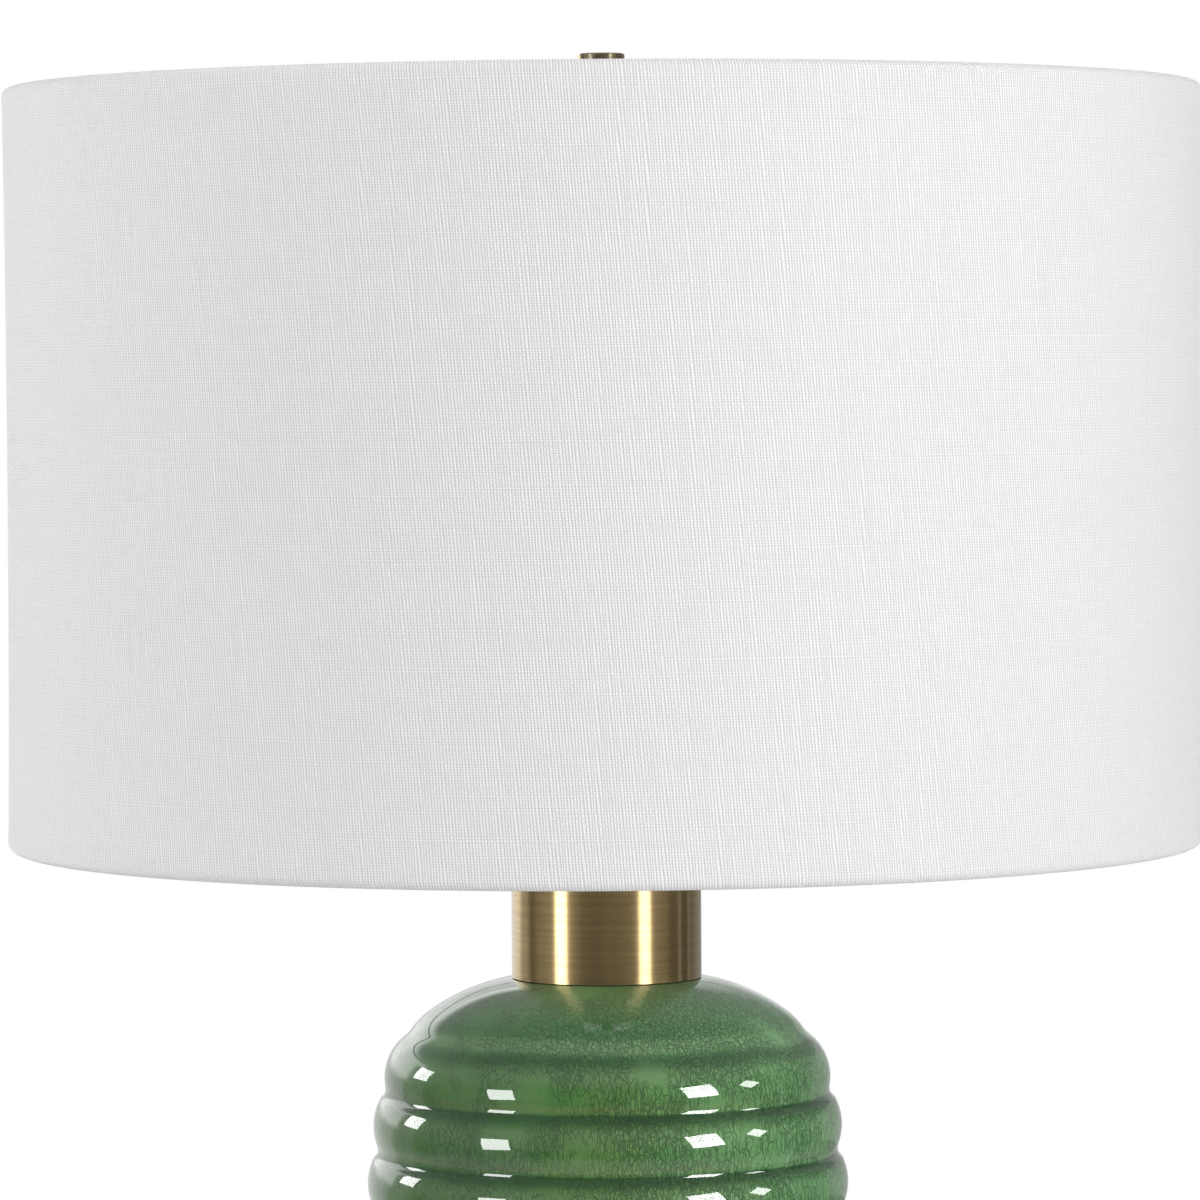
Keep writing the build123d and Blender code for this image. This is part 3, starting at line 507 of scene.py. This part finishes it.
def crackle_glaze():
    """A clear crazed glaze that pools dark under each groove and breaks olive over it.

    The bands' limits are in metres under or above a groove, and the groove lines wander a little.
    """
    made, tree, shader = material(
        "crackle_glaze", ior=1.5, specular_ior_level=0.1, coat_weight=1.0, coat_roughness=0.02, coat_ior=1.6
    )
    pitch = rib_pitch * mm
    spot = tree.place()
    side, _, height = tree.split(spot)
    wander = tree.times(tree.less(tree.noise(spot, 34.0, 3.0, 0.5), 0.5), 0.0016)
    wavy = tree.plus(height, wander)
    drop = tree.over(tree.less(second_groove * mm, wavy), pitch)
    under = tree.times(tree.math("FRACT", drop), pitch)
    above = tree.less(pitch, under)
    under_first = tree.less((first_groove - 1.0) * mm, wavy)
    above_first = tree.times(under_first, -1.0)

    pooled = tree.times(tree.band(under, 0.0, 0.0009, 0.0014, 0.0072), tree.step(drop, -0.01, 0.01))
    pooled_first = tree.band(under_first, -0.001, 0.0014, 0.0018, 0.0062)
    pooled = tree.most(pooled, tree.times(pooled_first, 0.62))
    broken = tree.band(above, 0.0, 0.0009, 0.0016, 0.0036)
    broken = tree.times(broken, tree.step(under_first, 0.004, 0.01))
    broken_first = tree.band(above_first, 0.0, 0.0016, 0.003, 0.0065)
    crest = tree.band(under, 0.003, 0.0065, 0.0085, 0.0135)
    mottle = tree.noise(spot, 130.0, 5.0, 0.62, 0.4)
    broad = tree.noise(spot, 16.0, 3.0, 0.55)
    crazing = crazed(tree, spot, side)

    colour = tree.mix(tree.step(broad, 0.36, 0.64), screen(70, 124, 62), screen(88, 128, 60))
    layers = (
        (tree.step(height, 0.262, 0.274, 0.0, 0.4), screen(68, 126, 92)),
        (tree.times(crest, 0.5), screen(112, 138, 94)),
        (tree.step(mottle, 0.4, 0.75, 0.0, 0.55), screen(96, 136, 84)),
        (tree.times(broken, 0.55), screen(112, 132, 76)),
        (tree.times(broken_first, 0.75), screen(124, 158, 112)),
        # Painted shade darkens the jar's left side and painted light brightens its right side, set by its x.
        (tree.step(side, 0.01, -0.07, 0.0, 0.55), screen(38, 74, 34)),
        (tree.step(side, -0.01, 0.08, 0.0, 0.7), screen(114, 168, 110)),
        (tree.times(pooled, 0.78), screen(18, 60, 24)),
        (tree.times(crazing, 0.62), screen(24, 62, 34)),
    )
    for share, tone in layers:
        colour = tree.mix(share, colour, tone)

    relief = tree.less(tree.times(mottle, 0.25), crazing)
    rough = tree.scaled(mottle, 0.15, 0.3)
    wire(tree, shader, base_color=colour, roughness=rough, normal=tree.bump(relief, 0.0003))
    wire(tree, shader, coat_normal=tree.bump(tree.noise(spot, 60.0), 0.00004))
    return made


def linen_cloth():
    """White plain-weave linen. The piece's UV map is in metres round and up the shade."""
    warp_pitch, weft_pitch, slant = 0.001, 0.00086, 0.08
    made, tree, shader = material("linen", sheen_weight=0.55, sheen_roughness=0.5, specular_ior_level=0.2)
    cloth = tree.node("ShaderNodeUVMap", uv_map="cloth").outputs[0]
    u, v, _ = tree.split(cloth)

    def uneven(round_scale, up_scale, detail):
        return tree.noise(tree.mapped(cloth, (round_scale, up_scale, 1)), 1.0, detail)

    # The threads drift slowly over the cloth, and each quivers beside its neighbours.
    warp = tree.over(tree.scaled(v, slant, u), warp_pitch)
    warp = tree.plus(warp, tree.times(uneven(30, 4, 2.0), 1.2))
    warp = tree.scaled(uneven(330, 9, 1.0), 1.2, warp)
    weft = tree.plus(tree.over(v, weft_pitch), tree.times(uneven(4, 30, 2.0), 1.5))
    weft = tree.scaled(uneven(9, 330, 1.0), 1.2, weft)
    threads = tree.effect(weave, u=warp, v=weft, weft_share=0.72, slubs=0.6)

    thick = tree.step(threads["Thread"], 0.3, 0.8, 0.0, 0.35)
    cloud = tree.step(uneven(14, 9, 3.0), 0.3, 0.7, 0.0, 0.06)
    specks = tree.step(uneven(520, 300, 1.0), 0.80, 0.86, 0.0, 0.35)
    # Painted shade in the gaps of the weave and painted light on the thread tops.
    colour = tree.mix(threads["Shade"], screen(192, 191, 190), screen(243, 242, 241))
    colour = tree.mix(thick, colour, screen(217, 216, 215))
    colour = tree.mix(cloud, colour, screen(226, 225, 221))
    colour = tree.mix(specks, colour, screen(196, 190, 180))
    height = tree.scaled(uneven(2600, 2600, 2.0), 0.12, threads["Height"])
    rough = tree.scaled(threads["Shade"], -0.08, 0.92)
    wire(tree, shader, base_color=colour, roughness=rough, normal=tree.bump(height, 0.00022))
    return made


linen = linen_cloth()

# ---------------------------------------------------------------- jar

jar_top = 295.0
jar_bottom = 25.0
first_groove = 276.0
first_groove_radius = 67.9
second_groove = 256.8
lower_grooves = 12
rib_pitch = 20.3
belly_radius = 80.8
belly_height = 187.0
belly_arc = 478.31
neck_seat = (32.6, jar_top)
shoulder = (61.0, 283.5)
base_edge = (54.5, jar_bottom)


def belly(height):
    """The radius of the grooves on the jar's belly, which is one large arc."""
    return belly_radius - belly_arc + sqrt(belly_arc**2 - (height - belly_height) ** 2)


glaze = crackle_glaze()
lower_heights = [second_groove - rib_pitch * n for n in range(lower_grooves)]
grooves = [(first_groove_radius, first_groove)] + [(belly(height), height) for height in lower_heights]

# The dome flows on from the shoulder's slope into the first groove.
outline = bulged(neck_seat, shoulder, 1.8, 16)
run = Vector(outline[-1]) - Vector(outline[-2])
fall = Vector(grooves[0]) - Vector(shoulder)
lean = abs(run.angle_signed(fall))
dome_bulge = fall.length / 2 * sin(lean / 2) / cos(lean / 2)
outline += bulged(shoulder, grooves[0], dome_bulge, 12, (0.0, 2.4))[1:]

# Each rib is an arc from groove to groove, and the corners in the grooves are eased.
ends = grooves + [base_edge]
for n, (radius, height) in enumerate(grooves):
    low_corner = (radius - 0.4, height - 1.5)
    bulge, count, trims = 3.0, 15, (3.8, 2.0)
    if n == 0:
        low_corner, bulge, trims = ends[n], 3.4, (2.4, 2.0)
    elif n == lower_grooves:
        low_corner, bulge, count, trims = ends[n], 1.0, 6, (3.0, 0.2)
    rib = bulged(ends[n], ends[n + 1], bulge, count, trims)
    outline += eased_corner(outline[-1], low_corner, rib[0], 5)
    outline += rib

# Under the jar, up through the pipe's hole, and back to the mouth inside.
outline += [(54.0, jar_bottom), (40.0, jar_bottom), (9.0, jar_bottom), (9.0, 30.5), (46.0, 30.5)]
outline += [(56.0, 60.0), (68.0, 110.0), (74.5, 160.0), (75.5, 190.0), (73.0, 225.0), (68.0, 255.0)]
outline += [(62.4, 270.5), (48.0, 280.2), (34.0, 286.6), (20.0, 289.5), (20.0, 294.4), (20.6, jar_top)]
jar = place(finished(spun(outline, 192), "glazed_jar", 60.0), "base", "crackle_glaze", glaze, "jar")

# ---------------------------------------------------------------- brass

neck_radius = 32.4
neck_bore = 31.4
neck_bottom, neck_top = 295.22, 363.0
neck_outline = [(neck_bore, 295.8), (32.12, 295.8), (32.12, 295.3), (32.2, neck_bottom), (32.32, neck_bottom)]
neck_outline += [(neck_radius, 295.3), (neck_radius, 362.8), (32.34, 362.94), (32.2, neck_top)]
neck_outline += [(neck_bore, neck_top)]
neck = finished(spun(neck_outline, 256), "brushed_neck")
place(neck, "base", "brushed_brass", brushed_brass, "neck_tube")

stud_radius = 3.26
knob_radius = 7.95
finial_top = 609.7
finial_outline = [(stud_radius, 586.3), (7.2, 586.3), (7.2, 589.5)]
finial_outline += turned_arc((7.2, 591.9), 2.4, 270, 180, 8)[1:]
finial_outline += [(4.8, 601.15)]
finial_outline += turned_arc((knob_radius, 601.15), 3.15, 180, 90, 8)[1:]
finial_outline += [(knob_radius, 609.3), (7.55, finial_top), (0.0, finial_top), (0.0, 602.7)]
finial_outline += [(stud_radius, 602.7)]
finial = finished(spun(finial_outline, 128), "turned_finial", 30.0)
place(finial, "finial", "polished_brass", polished_brass, "finial")

# ---------------------------------------------------------------- shade

shade_radius = 203.2
wire_radius = 200.0
bottom_wire, top_wire = 344.0, 595.1
roll = shade_radius - wire_radius
hem_radius = 201.5
linen_thickness = 0.5
wall_steps = 40
roll_points = 15
arm_angles = (90, 210, 330)


def waist(height):
    """How far the shade's wall draws in between its rims."""
    return 0.9 * sin(pi * (height - bottom_wire) / (top_wire - bottom_wire)) ** 0.6


# The linen's section, from its upper hem over the top wire, down the wall and round the bottom wire.
wall_heights = [top_wire - (top_wire - bottom_wire) * n / wall_steps for n in range(wall_steps + 1)]
skin = [(hem_radius, 584.2)]
skin += turned_arc((wire_radius, top_wire), roll, 212, 0, roll_points)[:-1]
skin += [(wire_radius + roll - waist(height), height) for height in wall_heights]
skin += turned_arc((wire_radius, bottom_wire), roll, 0, -212, roll_points)[1:]
skin += [(hem_radius, 354.9)]
lengths = [0.0]
for before, after in zip(skin, skin[1:]):
    lengths.append(lengths[-1] + (Vector(after) - Vector(before)).length)


def turned_by(point, angle):
    """A point's turn past an angle, in radians, from half a turn back to half a turn on."""
    return (atan2(point.y, point.x) - angle + pi) % (2 * pi) - pi


def map_cloth(bm, shift=0.0):
    """Lays the cloth's UV map, in metres round and up the shade."""
    cloth_map = bm.loops.layers.uv.new("cloth")
    for face in bm.faces:
        center = face.calc_center_median()
        middle = atan2(center.y, center.x)
        for loop in face.loops:
            point = loop.vert.co
            turn = turned_by(point, middle) + middle
            nearest = min(
                range(len(skin)),
                key=lambda n: (skin[n][0] - point.xy.length) ** 2 + (skin[n][1] - point.z) ** 2,
            )
            loop[cloth_map].uv = ((turn + pi / 2) * shade_radius * mm + shift, -lengths[nearest] * mm)


def at_an_arm(face):
    """True inside the top wire where one of the spider's arms comes through the hem."""
    center = face.calc_center_median()
    if center.z < 584 or center.xy.length > wire_radius:
        return False
    return min(abs(turned_by(center, radians(angle))) for angle in arm_angles) < radians(1)


bm = spun(skin, 360, closed=False)
bmesh.ops.delete(bm, geom=[face for face in bm.faces if at_an_arm(face)], context="FACES")
map_cloth(bm)
bmesh.ops.recalc_face_normals(bm, faces=bm.faces)
bmesh.ops.solidify(bm, geom=bm.faces[:], thickness=linen_thickness)
cover = place(finished(bm, "linen_cover", 50.0), "shade", "linen", linen, "shade_linen")

# The styrene behind the linen draws in with it.
styrene_radius, styrene_thickness = wire_radius + 2.6, 0.6
outer = [(styrene_radius - waist(height), height) for height in wall_heights]
inner = [(radius - styrene_thickness, height) for radius, height in reversed(outer)]
lining = finished(spun(outer + inner, 360), "styrene_lining", 60.0)
place(lining, "shade", "styrene", styrene_white, "shade_styrene")

# The linen's ends lap at the back, and the upper one is folded under.
seam_trim, seam_shift = 13, 0.0043
lap = [(radius + 0.35, height) for radius, height in skin[seam_trim:-seam_trim]]
lap += [(radius - 0.1, height) for radius, height in reversed(skin[seam_trim:-seam_trim])]
bm = spun(lap, 3, turn=3.0, start=89.0)
bmesh.ops.holes_fill(bm, edges=[edge for edge in bm.edges if edge.is_boundary])
bmesh.ops.recalc_face_normals(bm, faces=bm.faces)
map_cloth(bm, seam_shift)
seam = place(finished(bm, "linen_seam", 40.0), "shade", "linen", linen)

# ---------------------------------------------------------------- CAD nodes that stay

finishes = {
    "foot_pads": pad_rubber,
    "foot_cover": black_board,
    "brass_foot": brushed_brass,
    "cord_bushing": bushing_plastic,
    "foot_weight": cast_weight,
    "bottom_washer": zinc_steel,
    "bottom_nut": zinc_steel,
    "threaded_pipe": zinc_steel,
    "foot_gasket": gasket_rubber,
    "neck_gasket": gasket_rubber,
    "neck_washer": zinc_steel,
    "neck_cap": brushed_brass,
    "harp_saddle": harp_brass,
    "lock_nut": socket_brass,
    "socket_cap": socket_brass,
    "set_screw": zinc_steel,
    "socket_shell": socket_brass,
    "paper_liner": liner_board,
    "socket_body": phenolic,
    "terminal_screws": socket_brass,
    "screw_shell": cap_aluminium,
    "centre_contact": socket_brass,
    "switch_shaft": switch_steel,
    "switch_knob": knob_plastic,
    "bulb_envelope": bulb_glass,
    "bulb_cap": cap_aluminium,
    "bulb_insulator": insulator,
    "bulb_tip": solder,
    "bulb_stem": stem_glass,
    "bulb_leads": lead_wire,
    "bulb_filament": lead_wire,
    "harp": harp_brass,
    "harp_stud": zinc_steel,
    "ferrule_left": socket_brass,
    "ferrule_right": socket_brass,
    "spider_hub": spider_brass,
    "spider_arms": spider_brass,
    "top_ring": ring_wire,
    "bottom_ring": ring_wire,
}
for name, finish in finishes.items():
    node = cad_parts[name]
    node.data.materials.clear()
    node.data.materials.append(finish)

# ---------------------------------------------------------------- light


def collected(name, pieces, left_out=True):
    """A collection that a lamp either leaves out or keeps to."""
    made = bpy.data.collections.new(name)
    for piece in pieces:
        made.objects.link(piece)
    if left_out:
        for member in made.collection_objects:
            member.light_linking.link_state = "EXCLUDE"
    return made


# The lamps shine through the shade, and the brass and the glaze mirror the room as if it were off.
shade_pieces = (cover, lining, seam)
let_through = collected("let_light_through", shade_pieces)
for piece in shade_pieces:
    piece.visible_glossy = False

# The jar's glaze mirrors its own lamps, and everything else mirrors gentler ones.
in_glaze = collected("mirrored_in_glaze", [jar], left_out=False)
elsewhere = collected("mirrored_elsewhere", [jar])


mirrored_distance, lighting_distance = 1.2, 2.1
lamp_aim = Vector((0, 0, 0.3))


def softbox(name, azimuth, elevation, width, height, strength, mirrored_by=None, spin=0.0):
    """A square lamp, by its bearing from the front and its size in degrees.

    With nothing to mirror it, it lights the surfaces. The others are only mirrored.
    """
    side, up = radians(azimuth), radians(elevation)
    distance = mirrored_distance if mirrored_by else lighting_distance
    where = lamp_aim + Vector((sin(side) * cos(up), -cos(side) * cos(up), sin(up))) * distance
    lamp = bpy.data.lights.new(name, "AREA")
    lamp.shape = "RECTANGLE"
    lamp.size = distance * radians(width)
    lamp.size_y = distance * radians(height)
    lamp.energy = strength * lamp.size * lamp.size_y * pi
    piece = bpy.data.objects.new(name, lamp)
    piece.location = where
    turn = Matrix.Rotation(radians(spin), 3, "Z").to_quaternion()
    piece.rotation_euler = ((lamp_aim - where).to_track_quat("-Z", "Y") @ turn).to_euler()
    piece.visible_camera = False
    piece.visible_diffuse = mirrored_by is None
    piece.visible_glossy = mirrored_by is not None
    piece.light_linking.blocker_collection = let_through
    if mirrored_by:
        piece.light_linking.receiver_collection = mirrored_by
    bpy.context.scene.collection.objects.link(piece)


softbox("left_window", -54.9, -0.5, 14.7, 18, 12.0, in_glaze, 6.0)
softbox("right_window", 47.0, 5.6, 17.2, 21.4, 17.0, in_glaze, 9.0)
softbox("right_square", 76.5, 9.5, 9.4, 9.4, 12.0, in_glaze, 45.0)
softbox("left_square", -111.3, 12, 12.5, 14, 9.0, in_glaze)
softbox("right_wall", 150, -3, 50, 24, 0.2, in_glaze)
softbox("left_glow", -56.6, 2, 14.5, 26, 5.2, elsewhere)
softbox("right_glow", 46.6, 2, 14, 26, 4.4, elsewhere)
softbox("left_glow_high", -56.6, 40, 14.5, 44, 1.5, elsewhere)
softbox("right_glow_high", 46.6, 40, 14, 44, 1.6, elsewhere)
softbox("right_light", 42, 20, 30, 30, 5.9)
softbox("left_light", -100, 20, 30, 30, 4.6)
softbox("front_light", -50, 30, 30, 30, 1.4)

# ---------------------------------------------------------------- room

white = (1.0, 1.0, 1.0, 1.0)
bright_wall = (1.9, 1.9, 1.9, 1.0)
dim_ceiling = (0.32, 0.32, 0.32, 1.0)
soft_air = (0.55, 0.55, 0.56, 1.0)


def bearing_of(tree, x, y):
    """The bearing of a direction, in radians from the front towards the right."""
    return tree.math("ARCTAN2", x, tree.times(y, -1.0))


def rays(tree):
    """The share of rays that see plain white, and the kinds of ray to tell the others by."""
    kinds = tree.node("ShaderNodeLightPath").outputs
    return tree.most(kinds["Is Camera Ray"], kinds["Is Transmission Ray"]), kinds


# What gloss mirrors: a white wall behind, grey flats beside it and the dark room in front.
# The stops are bearings in degrees with the brightness there.
tree, entry, end, surround = effect_tree("surround", [("Place", "Vector", None)], [("Color", "Color")])
x, y, z = tree.split(entry["Place"])
bearing = tree.over(bearing_of(tree, x, y), 2 * pi)
flats = tree.node("ShaderNodeValToRGB", {0: tree.plus(bearing, 0.5)})
stops = [(-180, 0.65), (-160, 0.85), (-134, 0.85), (-127, 0.4), (-112, 0.4), (-107, 0.14), (-99, 0.14)]
stops += [(-94, 0.26), (-78, 0.32), (-50, 0.38), (-30, 0.15), (-8, 0.12), (0, 0.165), (8, 0.155)]
stops += [(30, 0.21), (60, 0.3), (78, 0.22), (84, 0.12), (98, 0.11), (100, 0.6), (102, 0.09)]
stops += [(117, 0.1), (119, 0.5), (121, 0.14), (134, 0.2), (141, 0.24), (165, 0.3), (180, 1.0)]
while len(flats.color_ramp.elements) < len(stops):
    flats.color_ramp.elements.new(0.5)
for element, (angle, value) in zip(flats.color_ramp.elements, stops):
    element.position = (angle + 180) / 360
    element.color = (value, value, value, 1)
tree.link(flats.outputs[0], end["Color"])

world = bpy.data.worlds.new("studio")
world.use_nodes = True
bpy.context.scene.world = world
tree = Tree(world.node_tree)
direction = tree.node("ShaderNodeTexCoord").outputs["Generated"]
x, y, z = tree.split(direction)
bearing = bearing_of(tree, x, y)
far_wall = tree.times(tree.step(bearing, radians(-123), radians(-130)), tree.step(z, -0.02, 0.1))
far_wall = tree.times(far_wall, tree.step(bearing, radians(-173), radians(-156), 0.3, 1.0))
high_wall = tree.times(tree.step(bearing, radians(-117), radians(-122)), tree.step(z, 0.31, 0.38))
room = tree.effect(surround, place=direction)["Color"]
room = tree.mix(tree.most(far_wall, high_wall), room, bright_wall)
room = tree.mix(tree.step(z, 0.36, 0.46), room, dim_ceiling)
shown, kinds = rays(tree)
lit = tree.mix(kinds["Is Glossy Ray"], soft_air, room)
tree.link(tree.mix(shown, lit, white), world.node_tree.nodes["Background"].inputs["Color"])

# ---------------------------------------------------------------- floor


def glowing(tree, colour, strength):
    return tree.node("ShaderNodeEmission", {"Color": colour, "Strength": strength}).outputs[0]


def blend(tree, share, first, second):
    return tree.node("ShaderNodeMixShader", {0: share, 1: first, 2: second}).outputs[0]


floor_radius = 3000.0
bm = bmesh.new()
bmesh.ops.create_circle(bm, cap_ends=True, radius=floor_radius, segments=96)
floor = finished(bm, "floor")
pale, tree, shader = material("pale_floor", roughness=0.7, specular_ior_level=0.15)
spot = tree.place()
tone = tree.effect(patches, place=spot, size=6.0)["Value"]
wire(tree, shader, base_color=tree.mix(tone, screen(228, 228, 228), screen(223, 223, 223)))
shown, kinds = rays(tree)
across = tree.vector_math("LENGTH", {0: spot}, "Value")

# Away from the lamp it is as white as the backdrop, and gloss mirrors the room there.
far = tree.times(tree.most(shown, kinds["Is Glossy Ray"]), tree.step(across, 0.35, 0.9))
room = tree.mix(shown, tree.effect(surround, place=spot)["Color"], white)
surface = blend(tree, far, shader.outputs[0], glowing(tree, room, 1.0))

# Under the foot it gives some light, and from below it is left out, so that the foot can be seen.
under_foot = tree.times(tree.step(across, 0.052, 0.046), kinds["Is Diffuse Ray"])
surface = blend(tree, under_foot, surface, glowing(tree, white, 0.8))
below = tree.node("ShaderNodeNewGeometry").outputs["Backfacing"]
surface = blend(tree, below, surface, tree.node("ShaderNodeBsdfTransparent").outputs[0])
tree.link(surface, pale.node_tree.nodes["Material Output"].inputs["Surface"])
floor.data.materials.append(pale)

# ---------------------------------------------------------------- camera

tilt_down, roll_angle, pan = 2.091, 0.36, -0.057
camera = bpy.data.cameras.new("camera")
camera.sensor_width = 36.0
camera.lens = 191.07
camera.clip_end = 50.0
view = bpy.data.objects.new("camera", camera)
view.location = (-0.0032, -2.170, 0.5031)
view.rotation_euler = (radians(90 - tilt_down), radians(roll_angle), radians(pan))
bpy.context.scene.collection.objects.link(view)
bpy.context.scene.camera = view
bpy.context.scene.view_settings.view_transform = "Standard"
